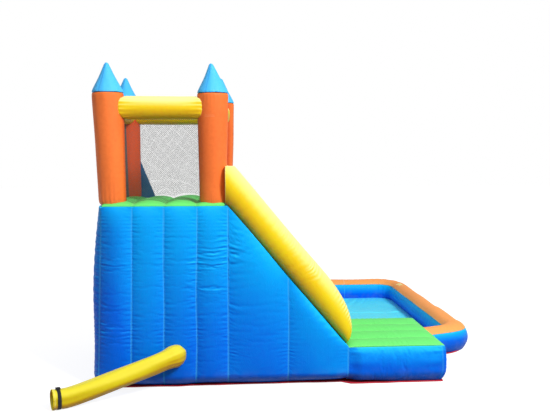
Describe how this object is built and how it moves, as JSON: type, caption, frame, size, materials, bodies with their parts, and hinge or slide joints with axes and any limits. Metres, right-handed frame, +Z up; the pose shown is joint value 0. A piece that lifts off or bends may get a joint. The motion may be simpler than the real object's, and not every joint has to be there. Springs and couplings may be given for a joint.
{
  "type": "inflatable water slide",
  "caption": "Inflatable castle tower on a seamed base, with a climbing lane, a slide lane, a landing deck, a splash pool and a blower sleeve.",
  "frame": {"origin": "on the ground under the middle of the castle tower", "axes": "+Z up, +X down the slide towards the deck and the pool, +Y from the climbing lane towards the slide lane and the pool's far end"},
  "size_m": [3.54, 3.9691, 2.5006],
  "materials": {
    "blue_oxford": "satin woven nylon, royal blue",
    "light_blue_oxford": "satin woven nylon, light blue",
    "pool_floor_blue": "satin coated fabric, pool blue",
    "green_oxford": "satin woven nylon, light green",
    "orange_oxford": "satin woven nylon, orange",
    "rim_orange_oxford": "satin woven nylon, light orange",
    "yellow_oxford": "satin woven nylon, yellow",
    "red_sheet": "coated ground sheet, red",
    "net_black": "knotless safety net, black",
    "black_webbing": "flat webbing, black",
    "zinc_steel": "zinc-plated steel",
    "black_plastic": "moulded plastic, black"
  },
  "bodies": {
    "root": {"anchor_tab_left_far": "black_webbing", "anchor_tab_left_near": "black_webbing", "anchor_tab_pool_far": "black_webbing", "anchor_tab_pool_right": "black_webbing", "anchor_tab_tower_far": "black_webbing", "castle_base": "blue_oxford", "castle_floor": "green_oxford", "climbing_hold_1": "orange_oxford", "climbing_hold_2": "orange_oxford", "climbing_hold_3": "orange_oxford", "climbing_hold_4": "orange_oxford", "climbing_hold_5": "orange_oxford", "climbing_mat": "green_oxford", "deck_base": "blue_oxford", "deck_top": "green_oxford", "far_crossbar": "yellow_oxford", "far_gusset": "blue_oxford", "far_left_cone": "light_blue_oxford", "far_left_pillar": "orange_oxford", "far_net": "net_black", "far_rail": "yellow_oxford", "far_right_cone": "light_blue_oxford", "far_right_pillar": "orange_oxford", "ground_sheet": "red_sheet", "inflation_sleeve": "yellow_oxford", "lane_divider": "yellow_oxford", "left_crossbar": "yellow_oxford", "left_net": "net_black", "near_crossbar": "yellow_oxford", "near_left_cone": "light_blue_oxford", "near_left_pillar": "orange_oxford", "near_net": "net_black", "near_rail": "yellow_oxford", "near_right_cone": "light_blue_oxford", "near_right_pillar": "orange_oxford", "pool_floor": "pool_floor_blue", "pool_rim_far": "rim_orange_oxford", "pool_rim_left": "rim_orange_oxford", "pool_rim_near": "rim_orange_oxford", "pool_rim_right": "rim_orange_oxford", "pool_wall_far": "blue_oxford", "pool_wall_left": "blue_oxford", "pool_wall_near": "blue_oxford", "pool_wall_right": "blue_oxford", "ramp_base": "blue_oxford", "right_crossbar": "yellow_oxford", "rim_patch": "yellow_oxford", "sleeve_buckle": "black_plastic", "sleeve_strap": "black_webbing", "slide_bed": "pool_floor_blue", "zip_tape": "black_webbing", "zip_teeth": "black_plastic"},
    "ring_left_near": {"anchor_ring_left_near": "zinc_steel"},
    "ring_left_far": {"anchor_ring_left_far": "zinc_steel"},
    "ring_tower_far": {"anchor_ring_tower_far": "zinc_steel"},
    "ring_pool_far": {"anchor_ring_pool_far": "zinc_steel"},
    "ring_pool_right": {"anchor_ring_pool_right": "zinc_steel"},
    "zip_slider": {"zip_slider": "zinc_steel"},
    "zip_pull": {"zip_pull": "zinc_steel"}
  },
  "joints": [
    {"name": "ring_left_near_swing", "type": "hinge", "parent": "root", "child": "ring_left_near", "pos_m": [-0.57138, -0.375, 0.17], "axis": [0, 1, 0], "range_deg": [0, 140]},
    {"name": "ring_left_far_swing", "type": "hinge", "parent": "root", "child": "ring_left_far", "pos_m": [-0.57138, 0.375, 0.17], "axis": [0, 1, 0], "range_deg": [0, 140]},
    {"name": "ring_tower_far_swing", "type": "hinge", "parent": "root", "child": "ring_tower_far", "pos_m": [-0.36, 0.7802, 0.17], "axis": [1, 0, 0], "range_deg": [0, 140]},
    {"name": "ring_pool_far_swing", "type": "hinge", "parent": "root", "child": "ring_pool_far", "pos_m": [1.78, 2.7337, 0.062], "axis": [1, 0, 0], "range_deg": [0, 140]},
    {"name": "ring_pool_right_swing", "type": "hinge", "parent": "root", "child": "ring_pool_right", "pos_m": [2.7287, 2.16, 0.062], "axis": [0, -1, 0], "range_deg": [0, 140]},
    {"name": "zip_travel", "type": "slide", "parent": "root", "child": "zip_slider", "axis": [1, 0, 0], "range_m": [0, 0.29]},
    {"name": "zip_pull_swing", "type": "hinge", "parent": "zip_slider", "child": "zip_pull", "pos_m": [0.5613, 0.7918, 0.15], "axis": [0, 0, 1], "range_deg": [0, 165]}
  ]
}
